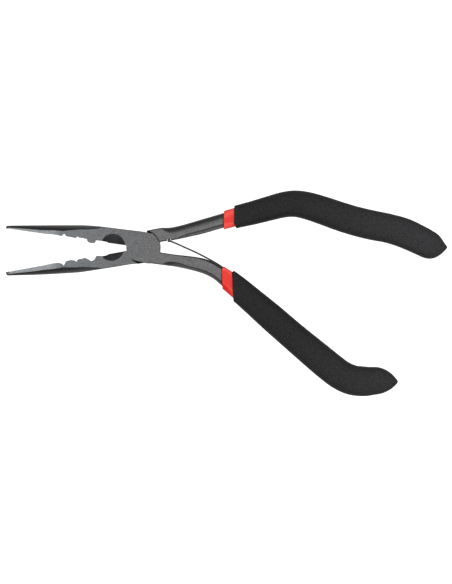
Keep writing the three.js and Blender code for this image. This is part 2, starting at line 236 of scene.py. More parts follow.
# ---- Handles ----
# Stations along each handle, from inside the joint to where the steel tang starts to close in. Each row is
#   x, y, half width, half thickness, squareness (2 is an oval, 10 nearly a rectangle),
#   outer band: its width and how far its edge falls below the flat, inner band: the same two.
# The bands are the forging's sloped sides. They start where the ground flat of the joint runs out.
LOWER_HANDLE = np.array([
    [3.5, -4.9, 2.95, 5, 14, 0.3, 0, 0.3, 0],
    [9, -5.58, 3, 5, 14, 0.3, 0, 0.3, 0],
    [12.6, -6.1, 3, 5, 14, 2, 1.5, 0.3, 0],
    [16.7, -6.65, 3, 4.9, 12, 2.3, 2.6, 0.3, 0.1],
    [22.7, -7.6, 3.3, 4.65, 10, 1.7, 2.4, 0.4, 0.3],
    [28.6, -8.85, 3.6, 4.4, 9, 1.7, 2.3, 0.9, 0.65],
    [32.6, -10.32, 3.6, 4.15, 8, 1.75, 2.2, 1.05, 0.75],
    [36.6, -12.6, 3.5, 3.95, 8, 1.7, 2, 1, 0.7],
    [40.6, -15.48, 3.8, 3.8, 7, 1.7, 1.9, 0.8, 0.6],
    [46.05, -19.8, 4.15, 3.75, 4.2, 2, 1.4, 0.6, 0.4],
    [54, -26.5, 4.45, 3.8, 3, 2, 0.4, 0.6, 0],
    [63.2, -34.45, 4.87, 3.85, 2.8, 2, 0, 0.6, 0],
    [74.15, -43.95, 5.05, 3.9, 2.7, 2, 0, 0.6, 0],
    [85.5, -53.5, 5.4, 3.95, 2.6, 2, 0, 0.6, 0],
    [91.8, -58.7, 5.5, 3.95, 2.6, 2, 0, 0.6, 0],
    [97.6, -63, 5.5, 3.95, 2.6, 2, 0, 0.6, 0],
    [103.2, -65.45, 5.5, 3.95, 2.6, 2, 0, 0.6, 0],
    [109.2, -66.1, 5.4, 3.9, 2.6, 2, 0, 0.6, 0],
    [114, -65.85, 4.95, 3.85, 2.6, 2, 0, 0.6, 0],
])
UPPER_HANDLE = np.array([
    [1.2, 4.85, 3.25, 5, 14, 0.3, 0, 0.3, 0],
    [8.8, 6.2, 3.4, 5, 14, 0.8, 0.2, 0.3, 0],
    [11.6, 6.5, 3.25, 5, 14, 2.9, 1.5, 0.3, 0],
    [14.8, 6.85, 3.15, 4.95, 12, 4.4, 1.9, 0.3, 0.1],
    [20.7, 8.1, 3.25, 4.65, 11, 4.5, 1.8, 1.5, 0.6],
    [28.6, 10.15, 3.5, 4.4, 10, 4.6, 1.8, 1.8, 0.7],
    [36.5, 12.45, 3.52, 4.1, 9, 4.6, 1.75, 1.8, 0.7],
    [40.5, 13.6, 3.52, 3.9, 7, 4.5, 1.5, 1.6, 0.6],
    [46, 15.1, 3.65, 3.75, 4.2, 4.5, 1, 1.1, 0.3],
    [54.3, 17.1, 3.92, 3.8, 2.8, 4.4, 0.3, 1, 0],
    [62, 19.2, 4.15, 3.85, 2.8, 4.4, 0, 1, 0],
    [69.5, 21.1, 4.4, 3.85, 2.7, 4.4, 0, 1, 0],
    [75.4, 21.55, 4.65, 3.9, 2.7, 4.4, 0, 1, 0],
    [81.6, 20.45, 4.9, 3.9, 2.6, 4.4, 0, 1, 0],
    [89.3, 18.05, 5.1, 3.95, 2.6, 4.4, 0, 1, 0],
    [97.2, 15.3, 5.25, 3.95, 2.6, 4.4, 0, 1, 0],
    [105.1, 12.9, 5.33, 3.95, 2.6, 4.4, 0, 1, 0],
    [113, 11, 5.4, 3.95, 2.6, 4.4, 0, 1, 0],
    [120.9, 9.45, 5.32, 3.95, 2.6, 4.4, 0, 1, 0],
    [128.8, 7.1, 5.45, 3.95, 2.6, 4.4, 0, 1, 0],
    [136.6, 3.55, 5.25, 3.85, 2.6, 4.4, 0, 1, 0],
    [140.4, 1.6, 5.05, 3.8, 2.6, 4.4, 0, 1, 0],
])


def along(table, t):
    """Values at shares t of the way through a table's rows, on one smooth curve, and their rates."""
    rows = len(table) - 1
    padded = np.vstack([2 * table[0] - table[1], table, 2 * table[-1] - table[-2]])
    place = np.clip(np.asarray(t, float), 0, 1) * rows
    row = np.minimum(place.astype(int), rows - 1)
    s = (place - row)[:, None]
    before, start, end, after = (padded[row + k] for k in range(4))
    leave, arrive = (end - before) / 2, (after - start) / 2
    value = (
        start * (2 * s**3 - 3 * s**2 + 1) + leave * (s**3 - 2 * s**2 + s)
        + end * (3 * s**2 - 2 * s**3) + arrive * (s**3 - s**2)
    )
    rate = (
        start * (6 * s**2 - 6 * s) + leave * (3 * s**2 - 4 * s + 1)
        + end * (6 * s - 6 * s**2) + arrive * (3 * s**2 - 2 * s)
    )
    return value, rate


RIM_WIDTH = 0.6  # the shanks' rounded outer rims, beyond their bands
RIM_FALL = 1.3
CAP_RINGS = 14
PLACE_STEPS = 2000  # fineness of the search for a place along a handle


class Handle:
    """The shape shared by a lever's bar and the two coatings over it.

    Its rounded end is end_cap long and elliptical at an end_sharpness of 1, with the tip drawn end_lift
    towards the outer side, later for a larger end_bend. outer_side is the sign of Y on the side away from the
    other handle. The bends say how the outer and the inner band fall away: 1 is a flat bevel and 2 a round
    shoulder.
    """

    def __init__(self, stations, end_cap, end_sharpness, end_lift, end_bend, outer_side, bends):
        self.stations = stations
        self.end_cap = end_cap
        self.end_sharpness = end_sharpness
        self.end_lift = end_lift
        self.end_bend = end_bend
        self.outer_side = outer_side
        self.bends = bends

    def share_at(self, x):
        """How far through the stations the handle's middle line reaches x."""
        shares = np.linspace(0, 1, PLACE_STEPS)
        return float(np.interp(x, along(self.stations, shares)[0][:, 0], shares))

    def sections(self, t, grow, samples):
        """Closed rings at shares t of the handle: their places and directions, and their points' offsets
        across and up. A positive grow makes the rings larger all round."""
        value, rate = along(self.stations, t)
        width, thickness, square, outer_band, outer_fall, inner_band, inner_fall = value.T[2:]
        ahead = rate[:, :2] / np.linalg.norm(rate[:, :2], axis=1)[:, None]
        half = samples // 2
        spread = np.sin(np.linspace(-1, 1, half + 1) * math.pi / 2)
        w = (width + grow)[:, None]
        top = (thickness + grow)[:, None]
        s = w * spread[None, :]
        z = top * np.abs(1 - np.abs(spread[None, :]) ** square[:, None]) ** (1 / square[:, None])
        outer = s * self.outer_side
        for band, fall, side, bend in (
            (outer_band, outer_fall, 1, self.bends[0]), (inner_band, inner_fall, -1, self.bends[1]),
        ):
            into = np.maximum(0, side * outer - (width - band)[:, None]) / (band + grow)[:, None]
            limit = top - np.maximum(fall, 0)[:, None] * into**bend
            z = np.minimum(z, np.maximum(limit, 0))
        rim = np.maximum(0, outer - (w - RIM_WIDTH)) / RIM_WIDTH
        z = np.maximum(z - RIM_FALL * np.clip(outer_fall, 0, 1)[:, None] * rim**2, 0)
        across = np.concatenate([s[:, ::-1], s[:, 1:-1]], axis=1)
        up = np.concatenate([z[:, ::-1], -z[:, 1:-1]], axis=1)
        return value[:, :2], ahead, across, up

    def rings(self, t, grow, samples):
        """Rings of 3-D points along the handle and over its rounded end, and the last point."""
        place, ahead, across, up = self.sections(t, grow, samples)
        rings = list(self.placed(place, ahead, across, up))
        out = self.outer_side * np.array([-ahead[-1, 1], ahead[-1, 0]])

        def beyond(share):
            lift = self.end_lift * share**self.end_bend
            return place[-1] + ahead[-1] * (self.end_cap + grow) * share + out * lift

        for i in range(1, CAP_RINGS + 1):
            angle = i / (CAP_RINGS + 0.5) * math.pi / 2
            narrow = math.cos(angle) ** self.end_sharpness
            centre = beyond(math.sin(angle))[None, :]
            low = math.sqrt(narrow)
            rings.append(self.placed(centre, ahead[-1:], across[-1:] * narrow, up[-1:] * low)[0])
        return rings, np.append(beyond(1), MIDDLE)

    @staticmethod
    def placed(place, ahead, across, up):
        """Rings of 3-D points from what sections() gives."""
        points = np.empty((*across.shape, 3))
        points[..., 0] = place[:, None, 0] - ahead[:, None, 1] * across
        points[..., 1] = place[:, None, 1] + ahead[:, None, 0] * across
        points[..., 2] = MIDDLE + up
        return points


lower_handle = Handle(
    LOWER_HANDLE, end_cap=9.85, end_sharpness=1.6, end_lift=1, end_bend=2.5, outer_side=-1, bends=(1.2, 1.1),
)
upper_handle = Handle(
    UPPER_HANDLE, end_cap=7.5, end_sharpness=1.4, end_lift=2.9, end_bend=6, outer_side=1, bends=(2.1, 0.6),
)
BAR_STEPS, BAR_SAMPLES = 160, 72  # rings along a whole bar, and points round each
TANG_STEPS, TANG_SAMPLES = 90, 40  # the same for the tang inside the coatings


def bar(handle, first=0.0, grow=0.0, steps=BAR_STEPS, samples=BAR_SAMPLES):
    """The steel bar of a handle, shank and tang, from the share called first to its rounded end."""
    rings, tip = handle.rings(np.linspace(first, 1, steps), grow, samples)
    start = rings[0].mean(axis=0)
    vertices = [*np.concatenate(rings), tip, start]
    count = len(rings)
    faces = skin_faces(count, samples)
    faces += fan((count - 1) * samples, samples, count * samples)
    faces += fan(0, samples, count * samples + 1)
    return outward(mesh_object("bar", vertices, faces))


# ---- Jaws, made in a lever's own frame: tip at -X, closing line on the X axis, the jaw on the +Y side ----
# back is the outer edge and face the gripping edge, from the serrations to the cutter, both seen from the
# front as (distance from the pivot, distance from the closing line). The cutter's edge lies at cutting_edge;
# its round pockets are given by the distance of their middle from the pivot and beyond the closing line, and
# their radius. nose_height is the round nose's depth from front to back as a share of its width.
FRONT_JAW = {
    "back": [
        (JAW_LENGTH, 1.3), (67.8, 1.65), (64, 2.25), (58, 3.12), (52, 3.97), (46, 4.83), (40, 5.67),
        (34, 6.5), (31, 6.9), (28, 7.17), (22, 7.43), (13, 7.5), (4, 7.65), (0, 7.65),
    ],
    "face": [
        (47, 0.26), (46, 0.34), (43, 0.36), (42, 0.18), (40.8, 0.16),
        (39.5, 1.7), (38.3, 0.32), (36, 0.22), (33.8, 0.06),
        (32.9, 1.15), (32, 0.52), (30, 0.52), (27.9, 0.32),
        (27.5, -0.6), (27, -1.1), (26.4, -1.33), (25.4, -1.25), (24.6, -1.25), (24.1, -1), (23.7, 0.3),
        (22.5, 0.42), (20, 0.36), (18, 0.21),
    ],
    "cutting_edge": -0.15,
    "pocket": (14.72, 1.29, 5.9),
    "nose_height": 0.98,
}
REAR_JAW = {
    "back": [
        (JAW_LENGTH + REAR_JAW_EXTRA, 1.65), (68.2, 2.04), (61, 3.12), (55, 4.03), (49, 4.83), (43, 5.56),
        (37, 6.25), (34, 6.58), (31, 6.75), (25, 6.84), (16, 7.02), (8, 7.1), (4, 7.4), (0, 7.5),
    ],
    "face": [
        (46.5, 0.08), (45.3, -0.03), (43, 0.14), (42.4, 0.14),
        (41.2, 0.7), (40.3, 1.9), (39.7, 1.8), (38.6, 0.16), (37, -0.06), (35.5, 0),
        (34.6, 0.34), (33.6, 1.35), (32.5, 0.26), (30.8, 0.24), (29.1, 0.12),
        (28.1, 0.7), (27.3, 1.45), (26.6, 2.1), (25.8, 2.2), (25, 1.95), (24.2, 1.35), (23.5, 0.22),
        (22, 0.24), (21, 0.66), (19.5, 0.72), (18.2, 0.6),
    ],
    "cutting_edge": 0.22,
    "pocket": (15.38, 2.23, 6.1),
    "nose_height": 0.95,
}
# Half the jaws' thickness along their flanks, which close in towards the tip.
FLANKS = [
    (JAW_LENGTH + PAST, 0.9), (67, 1.65), (64, 2.1), (60, 2.6), (50, 3.93), (44, 4.47), (40, MIDDLE),
    (-PAST, MIDDLE),
]
# The round nose follows the jaw's back up to here and then flares out, clear of the joint.
NOSE_LENGTH_START = 28
NOSE_ALLOWANCE = 0.04
NOSE_FLARE = [(24, 7.9), (20, 9), (12, 14), (-12, 14), (-12, 0)]
FACE_STOCK = 3.0  # metal left beyond the closing line until the face is cut


def jaw_blank(shape):
    """The jaw before its face is cut: tapered flanks and a round nose, flattened a little."""
    back = shape["back"]
    tip = back[0][0]
    outline = [(-tip, -FACE_STOCK), (0, -FACE_STOCK), *((-u, v) for u, v in reversed(back))]
    sides = [(-u, -half) for u, half in FLANKS] + [(-u, half) for u, half in reversed(FLANKS)]
    wedge = prism(sides, -WIDE, WIDE)
    wedge.data.transform(Matrix.Translation((0, 0, MIDDLE)) @ Matrix.Rotation(math.pi / 2, 4, "X"))
    nose = [(u, v + NOSE_ALLOWANCE) for u, v in back if u >= NOSE_LENGTH_START]
    profile = [(radius, u) for u, radius in [(tip, 0), *nose, *NOSE_FLARE]]
    cone = turned(profile[::-1])
    flatten = Matrix.Diagonal((1, 1, shape["nose_height"], 1))
    laid = Matrix.Rotation(-math.pi / 2, 4, "Y")
    cone.data.transform(Matrix.Translation((0, 0, MIDDLE)) @ flatten @ laid)
    return combined(prism(outline, 0, JOINT_THICKNESS), "INTERSECT", wedge, cone)


def face_cut(shape):
    """What is machined off the blank to leave the gripping face and the cutting edge, sparing the plate."""
    line = [(JAW_LENGTH + PAST, TOOTH_CREST)]
    for i in range(TOOTH_COUNT, 0, -1):
        u = TOOTH_START + i * TOOTH_PITCH
        line += [(u, TOOTH_CREST), (u - TOOTH_PITCH / 2, TOOTH_CREST + TOOTH_DEPTH)]
    edge = shape["cutting_edge"]
    line += [(TOOTH_START, TOOTH_CREST), *shape["face"], (CUTTER_EDGE_END, edge), (0, edge)]
    depth = -FACE_STOCK - PAST
    outline = [(-u, v) for u, v in [*line, (0, depth), (JAW_LENGTH + PAST, depth)]]
    cut = prism(outline[::-1], -PAST, JOINT_THICKNESS + PAST)
    return combined(cut, "DIFFERENCE", drum(JOINT_RADIUS, -2 * PAST, JOINT_THICKNESS + 2 * PAST))


def cutter_pocket(shape, side):
    """A round pocket whose floor slopes down to the cutting edge: side is 1 in front and -1 behind."""
    along_jaw, beyond, radius = shape["pocket"]
    reach = radius + PAST
    top = MIDDLE + PAST
    outline = [
        (-reach, CUTTER_EDGE_HALF), (0, CUTTER_EDGE_HALF), (reach, CUTTER_EDGE_HALF + CUTTER_SLOPE * reach),
        (reach, top), (-reach, top),
    ]
    sloped = prism(outline, -reach, reach)
    sloped.data.transform(Matrix(((0, 0, 1, -along_jaw), (1, 0, 0, 0), (0, 1, 0, 0), (0, 0, 0, 1))))
    wall = drum(radius - CUTTER_DRAFT, 0, top, -along_jaw, -beyond, radius + CUTTER_DRAFT)
    pocket = combined(wall, "INTERSECT", outward(sloped))
    pocket.data.transform(Matrix.Translation((0, 0, MIDDLE)) @ Matrix.Diagonal((1, 1, side, 1)))
    return outward(pocket)


# ---- Levers ----
TANG_JOIN = 48.3  # where the plain tang takes over, inside the coatings
TANG_LAP = 1.7  # how far the eased forging runs on over the tang
TANG_ALLOWANCE = -0.15
# The front lever's joint plate runs out to a straight edge between the handles, and has a corner taken off
# where the rear jaw's shoulder meets it. The rear lever's plate has one taken off beside its own shoulder.
PLATE_EDGE = [(5, -4), (8.6, -4), (8.6, -2.6), (8.3, 0), (8.15, 2.7), (5, 2.7)]
PLATE_CORNER = [(-7, -5.55), (-7, -9), (0.6, -9), (0.6, -7.5), (-0.4, -7.15), (-2.5, -6.8)]
REAR_CORNER = [(-2, 7.85), (1.8, 7.33), (1.8, 10), (-2, 10)]
# Each plate is left this much too large and its rim turned down along two arcs once its edges are eased. The
# arcs are in degrees; the first starts a small angle beyond the cutting edge.
PLATE_STOCK = 0.4
JAW_ARC_MARGIN = 0.2
JAW_ARC_END = 264
HANDLE_ARC = (20, 82)
ARC_CORNERS = 9


def rivet_profile(gap, beyond):
    """The countersunk rivet's outline, or its hole's when it runs beyond both faces."""
    head = RIVET_HEAD_HEIGHT
    wide, narrow = RIVET_HEAD_RADIUS + gap, RIVET_RADIUS + gap
    top = JOINT_THICKNESS
    run_in, run_out = ([(wide, -beyond)], [(wide, top + beyond)]) if beyond else ([], [])
    cone = [(wide, 0), (narrow, head), (narrow, top - head), (wide, top)]
    return [(0, -beyond), *run_in, *cone, *run_out, (0, top + beyond)]


def lever(name, shape, side, lean, handle, lap_z, extra, room):
    """A whole lever. side is 1 for the jaw above the closing line and -1 for the one below, and lean is how
    far the jaw is turned from that line at rest. lap_z is the range of heights that the other lever's joint
    plate takes up. The pieces in extra are forged on, and those in room are cut away."""
    def stood(piece):
        if side < 0:
            piece.data.transform(Matrix.Diagonal((1, -1, 1, 1)))
            piece.data.flip_normals()
        piece.data.transform(Matrix.Rotation(-side * lean, 4, "Z"))
        return piece

    plate = combined(
        drum(JOINT_RADIUS + PLATE_STOCK, 0, JOINT_THICKNESS), "INTERSECT",
        block((-WIDE, WIDE), (-JOINT_HALF_WIDTH, JOINT_HALF_WIDTH), (-PAST, JOINT_THICKNESS + PAST)),
    )
    piece = stood(combined(plate, "UNION", jaw_blank(shape)))
    combined(piece, "UNION", bar(handle), *extra)
    forged = block(
        (-JAW_LENGTH - WIDE, TANG_JOIN + TANG_LAP), (-2 * WIDE, 2 * WIDE), (-PAST, JOINT_THICKNESS + PAST),
    )
    ease_edges(combined(piece, "INTERSECT", forged))
    handle_side = combined(
        drum(JOINT_RADIUS + SHOULDER_GAP, *lap_z), "INTERSECT",
        block((0, WIDE), (-WIDE, WIDE), (-2 * PAST, JOINT_THICKNESS + 2 * PAST)),
    )
    combined(
        piece, "DIFFERENCE", rim_stock(shape, side, lean),
        stood(face_cut(shape)), stood(cutter_pocket(shape, 1)), stood(cutter_pocket(shape, -1)),
        drum(JOINT_RADIUS + JAW_SHOULDER_GAP, *lap_z), handle_side,
        turned(rivet_profile(RIVET_FIT, PAST)), *room,
    )
    tang = bar(handle, handle.share_at(TANG_JOIN), TANG_ALLOWANCE, TANG_STEPS, TANG_SAMPLES)
    combined(piece, "UNION", tang)
    return finish_mesh(piece, name, LEVER_SMOOTH_ANGLE)


def rim_stock(shape, side, lean):
    """What is turned off a plate where its rim faces the other lever's shoulders, leaving it sharp there."""
    reach = JOINT_RADIUS + 2 * PAST
    bottom, top = -PAST, JOINT_THICKNESS + PAST
    edge = math.degrees(math.asin(shape["cutting_edge"] / JOINT_RADIUS))
    sectors = []
    for first, last in ((180 - lean - edge + JAW_ARC_MARGIN, JAW_ARC_END), HANDLE_ARC):
        angles = np.radians(np.linspace(first, last, ARC_CORNERS))
        corners = [(0, 0), *((reach * math.cos(a), reach * math.sin(a)) for a in angles)]
        sectors.append(prism(corners, bottom, top))
    stock = combined(sectors[0], "UNION", sectors[1])
    combined(stock, "DIFFERENCE", drum(JOINT_RADIUS, bottom - PAST, top + PAST))
    stock.data.transform(Matrix.Diagonal((1, side, 1, 1)))
    return outward(stock)


def ease_edges(piece):
    """Rounds every edge a little, as tumbling does to a forging."""
    remesh = piece.modifiers.new("grain", "REMESH")
    remesh.mode = "VOXEL"
    remesh.voxel_size = EDGE_VOXEL
    soften = piece.modifiers.new("ease", "SMOOTH")
    soften.factor = EDGE_SOFTENING
    soften.iterations = EDGE_PASSES
    return applied(piece)


# ---- Return spring ----
SPRING_LINE = np.array([
    [12.75, 3.55], [13.2, 3.2], [16.5, 1.85], [20.7, -0.05], [24.8, -1.87], [28.8, -3.82], [32.8, -5.95],
    [36.8, -8.25], [40.4, -10.7], [44, -13.5], [47.6, -16.4],
])
# Places along the leaf, as shares of the way from its tip to its root: where its seat in the lower shank
# starts, and where its rivet is.
SPRING_SEAT_SHARE = 0.5
SPRING_RIVET_SHARE = 0.93
LEAF_STEPS = 90
SPRING_NOTCH_X = 12.8  # the notch in the upper shank that the tip rests in
SPRING_NOTCH_WIDTH = 1.9
SPRING_NOTCH_TOP = 4.2
SPRING_CORNER = 0.12
SPRING_RIVET_RADIUS = 0.9
SPRING_RIVET_HEAD = 1.5
SPRING_RIVET_HEAD_HEIGHT = 0.4
SPRING_RIVET_LIFT = 0.1  # how far the head's underside stands off the leaf
SPRING_RIVET_DEPTH = 3
SPRING_RIVET_SIDES = 48
DOME_STEPS = 8
SPRING_TIP = ((12.15, 13.4), (2.65, 4.1), (2.9, 7.1))  # the folded-over tip, as ranges of X, Y and Z


def leaf(thickness, width, start=0.0, corner=0.0):
    """The flat spring standing on edge, from the share called start to its root, with its corners rounded."""
    place, rate = along(SPRING_LINE, np.linspace(start, 1, LEAF_STEPS))
    ahead = rate / np.linalg.norm(rate, axis=1)[:, None]
    half_t, half_w = thickness / 2, width / 2
    section = []
    for sign_t, sign_w, first in ((1, 1, 0), (-1, 1, 90), (-1, -1, 180), (1, -1, 270)):
        for turn in ((first, first + 30, first + 60, first + 90) if corner else (first + 45,)):
            angle = math.radians(turn)
            section.append((
                sign_t * (half_t - corner) + corner * math.cos(angle),
                sign_w * (half_w - corner) + corner * math.sin(angle),
            ))
    across, up = (np.tile(values, (LEAF_STEPS, 1)) for values in zip(*section))
    rings = Handle.placed(place, ahead, across, up)
    size = len(section)
    faces = skin_faces(LEAF_STEPS, size)
    faces += [tuple(range(size)), tuple(reversed(range((LEAF_STEPS - 1) * size, LEAF_STEPS * size)))]
    return outward(mesh_object("leaf", rings.reshape(-1, 3), faces))


def spring_rivet(gap):
    """The small rivet through the spring's root, square to it, with a low round head, grown by the gap."""
    top = SPRING_THICKNESS / 2 + SPRING_RIVET_LIFT
    dome = [
        (SPRING_RIVET_HEAD * math.cos(a) + gap, top + SPRING_RIVET_HEAD_HEIGHT * math.sin(a) + gap)
        for a in np.linspace(0, math.pi / 2, DOME_STEPS)[:-1]
    ]
    piece = turned([
        (0, -SPRING_RIVET_DEPTH - gap), (SPRING_RIVET_RADIUS + gap, -SPRING_RIVET_DEPTH - gap),
        (SPRING_RIVET_RADIUS + gap, top - gap), (SPRING_RIVET_HEAD + gap, top - gap), *dome[1:],
        (0, top + SPRING_RIVET_HEAD_HEIGHT + gap),
    ], SPRING_RIVET_SIDES)
    place, rate = along(SPRING_LINE, np.array([SPRING_RIVET_SHARE]))
    angle = math.atan2(rate[0, 1], rate[0, 0])
    spot = Matrix.Translation((place[0, 0], place[0, 1], MIDDLE))
    piece.data.transform(spot @ Matrix.Rotation(angle, 4, "Z") @ Matrix.Rotation(-math.pi / 2, 4, "X"))
    return outward(piece)


# ---- Coatings ----
# How far each coating's front edge draws back from its plane, as (place across, distance back). The place is
# -1 at the inner side of the handle and 1 at the outer side.
LOWER_SLEEVE_FRONT = [(-1, 0.8), (-0.68, 0), (1, 0)]
UPPER_SLEEVE_FRONT = [(-1, 0.2), (-0.9, 0), (0.9, 0), (1, 0.2)]
LOWER_GRIP_FRONT = [(-1, 0.7), (-0.88, 0.15), (0.3, 0), (1, 0.4)]
UPPER_GRIP_FRONT = [(-1, 1.2), (-0.6, 0), (0.93, 0), (1, 0.25)]
COATING_SAMPLES = 112
COATING_STEPS = 260  # rings along the outside; the inside has a third as many
COATING_LIP = 0.15  # radius of the front edge
RING_CROWDING = 1.35  # more than 1 draws the rings together towards the front edge
FRONT_SEARCH = (0.7, 900)  # the coatings start before this share of a handle, found in this many steps


def line_start(handle, grow, samples, x_start, front):
    """For each line along the handle, the share at which it crosses the coating's front."""
    last, steps = FRONT_SEARCH
    shares = np.linspace(0, last, steps)
    place, ahead, across, up = handle.sections(shares, grow, samples)
    lines = handle.placed(place, ahead, across, up)[..., 0]
    spots, backs = zip(*front)
    plane = x_start + np.interp(handle.outer_side * across[0] / across[0].max(), spots, backs)
    first = (lines >= plane).argmax(axis=0)
    before, after = lines[first - 1, np.arange(samples)], lines[first, np.arange(samples)]
    step = shares[1] - shares[0]
    return shares[first - 1] + step * (plane - before) / (after - before)


def coating_surface(handle, grow, starts, samples, steps, lip):
    """Rings over a coated handle, from each line's start to the tip. The lip rounds the front edge."""
    length = np.linalg.norm(np.diff(handle.stations[:, :2], axis=0), axis=1).sum()
    rings = []
    for k in range(steps):
        share = (k / (steps - 1)) ** RING_CROWDING
        run_in = min(share * (1 - starts.mean()) * length / lip, 1) if lip else 1
        shrink = lip * (1 - math.sqrt(1 - (1 - run_in) ** 2)) if lip else 0
        place, ahead, across, up = handle.sections(starts + (1 - starts) * share, grow - shrink, samples)
        points = handle.placed(place, ahead, across, up)
        rings.append(points[np.arange(samples), np.arange(samples)])
    cap, tip = handle.rings(np.array([1.0]), grow, samples)
    return rings + cap[1:], tip


def coating(name, node, handle, inner, outer, front):
    """A dipped coating: an even shell over the handle, open at the front, whose edge is rounded. inner and
    outer are how far its two surfaces lie off the steel."""
    samples = COATING_SAMPLES
    starts = line_start(handle, outer, samples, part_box(node)[0].x / MM, front)
    outer_rings, outer_tip = coating_surface(handle, outer, starts, samples, COATING_STEPS, COATING_LIP)
    inner_rings, inner_tip = coating_surface(handle, inner, starts, samples, COATING_STEPS // 3, 0)
    n_outer, n_inner = len(outer_rings), len(inner_rings)
    vertices = [*np.concatenate(outer_rings), *np.concatenate(inner_rings), outer_tip, inner_tip]
    inside = n_outer * samples
    tips = inside + n_inner * samples
    faces = skin_faces(n_outer, samples) + fan(inside - samples, samples, tips)
    faces += skin_faces(n_inner, samples, inside) + fan(tips - samples, samples, tips + 1)
    faces += [(i, (i + 1) % samples, inside + (i + 1) % samples, inside + i) for i in range(samples)]
    return outward(mesh_object(name, vertices, faces))


# ---- Materials ----
def material(name, **sockets):
    """A material with its principled shader's plain values set."""
    made = bpy.data.materials.new(name)
    made.use_nodes = True
    shader = made.node_tree.nodes["Principled BSDF"]
    for key, value in sockets.items():
        shader.inputs[key.replace("_", " ").title().replace("Ior", "IOR")].default_value = value
    return made, shader


class Nodes:
    """Short forms for the few kinds of node that the materials use."""

    def __init__(self, made):
        self.tree = made.node_tree
        coordinates = self.add("ShaderNodeTexCoord")
        self.place = coordinates.outputs["Object"]
        self.facing = coordinates.outputs["Normal"]

    def add(self, kind, **settings):
        node = self.tree.nodes.new(kind)
        for key, value in settings.items():
            setattr(node, key, value)
        return node

    def link(self, value, socket):
        if hasattr(value, "is_output"):
            self.tree.links.new(value, socket)
        else:
            socket.default_value = value

    def noise(self, size_mm, detail=4.0, roughness=0.6, stretch=(1, 1, 1)):
        """Noise with features of about size_mm."""
        mapping = self.add("ShaderNodeMapping")
        self.link(self.place, mapping.inputs["Vector"])
        mapping.inputs["Scale"].default_value = [s / (size_mm * MM) for s in stretch]
        noise = self.add("ShaderNodeTexNoise")
        self.link(mapping.outputs["Vector"], noise.inputs["Vector"])
        noise.inputs["Scale"].default_value = 1
        noise.inputs["Detail"].default_value = detail
        noise.inputs["Roughness"].default_value = roughness
        return noise.outputs["Fac"]

    def cells(self, size_mm):
        """Distance to scattered points about size_mm apart."""
        voronoi = self.add("ShaderNodeTexVoronoi")
        self.link(self.place, voronoi.inputs["Vector"])
        voronoi.inputs["Scale"].default_value = 1 / (size_mm * MM)
        return voronoi.outputs["Distance"]

    def math(self, operation, a, b=0.0, clamp=False):
        node = self.add("ShaderNodeMath", operation=operation, use_clamp=clamp)
        self.link(a, node.inputs[0])
        self.link(b, node.inputs[1])
        return node.outputs[0]

    def ramp(self, value, low, high, out_low=0.0, out_high=1.0, smooth=True):
        node = self.add("ShaderNodeMapRange", interpolation_type="SMOOTHSTEP" if smooth else "LINEAR")
        self.link(value, node.inputs["Value"])
        for key, number in (("From Min", low), ("From Max", high), ("To Min", out_low), ("To Max", out_high)):
            node.inputs[key].default_value = number
        return node.outputs["Result"]

    def mix(self, share, a, b):
        node = self.add("ShaderNodeMix", data_type="RGBA")
        self.link(share, node.inputs["Factor"])
        self.link(a, node.inputs["A"])
        self.link(b, node.inputs["B"])
        return node.outputs["Result"]

    def scaled(self, colour, amount):
        """The colour times a number."""
        node = self.add("ShaderNodeVectorMath", operation="SCALE")
        self.link(colour, node.inputs[0])
        self.link(amount, node.inputs["Scale"])
        return node.outputs[0]

    def length(self, vector):
        node = self.add("ShaderNodeVectorMath", operation="LENGTH")
        self.link(vector, node.inputs[0])
        return node.outputs["Value"]

    def axis(self, vector, name):
        node = self.add("ShaderNodeSeparateXYZ")
        self.link(vector, node.inputs[0])
        return node.outputs[name]

    def bump(self, height, depth_mm, strength=1.0, under=None):
        node = self.add("ShaderNodeBump")
        self.link(height, node.inputs["Height"])
        node.inputs["Distance"].default_value = depth_mm * MM
        node.inputs["Strength"].default_value = strength
        if under is not None:
            self.link(under, node.inputs["Normal"])
        return node.outputs["Normal"]


def grey(value, tint=(1.0, 1.0, 1.0)):
    return (*(value * t for t in tint), 1.0)


# A noise's values lie around 0.5, so a ramp spreads only this part of them over its whole range.
NOISE_WIDE = (0.25, 0.75)
NOISE_MIDDLE = (0.3, 0.7)
NOISE_NARROW = (0.35, 0.65)

STEEL_GROUND = 0.065  # brightness of the ground flats at the joint
STEEL_BLUE = (0.95, 0.99, 1.03)  # tint of the flats towards the tips, which fades out over BLUE_X, in metres
BLUE_X = (-0.03, 0.015)
STEEL_RAW_JAW_AND_SHADE = 0.033  # brightness of the forged slopes and walls of the jaws: their own darker skin, darkened further as painted shade
STEEL_POCKET = 0.078  # and of those around the cutter, from JAW_X on
STEEL_RAW_SHANK_AND_SHADE = 0.05  # and of the shanks, from SHANK_X on, also partly painted shade
STEEL_TINT = 0.8  # brightness of the steel seen at a grazing angle
JAW_X = (-21.5, -20.5)
SHANK_X = (-6, 4)
FLAT_FACING = (0.9, 0.985)  # from a slope to a ground flat, by how squarely the face looks along Z; the slopes' darker colour is partly painted shade
JAW_PAINTED_HIGHLIGHT = 1.25  # a painted highlight: the flats are this much brighter where the jaws start to taper
TIP_PAINTED_HIGHLIGHT = 1.75  # and a painted highlight this much brighter again along the tapered tips
JAW_HIGHLIGHT_X = (-4, -38)
TIP_HIGHLIGHT_X = (-38.5, -47)
MOTTLE = dict(size_mm=2.4, detail=5, roughness=0.6)
MOTTLE_SPREAD = (-0.08, 0.08)
SPECKLE = dict(size_mm=0.55, detail=3, roughness=0.7)
SPECKLE_SPREAD = (0.64, 1.36)
STEEL_ROUGHNESS = (0.36, 0.44)
BRUSHING = dict(size_mm=0.3, detail=3, stretch=(0.3, 1, 1))
BRUSHING_DEPTH = 0.012
BRUSHING_STRENGTH = 0.5
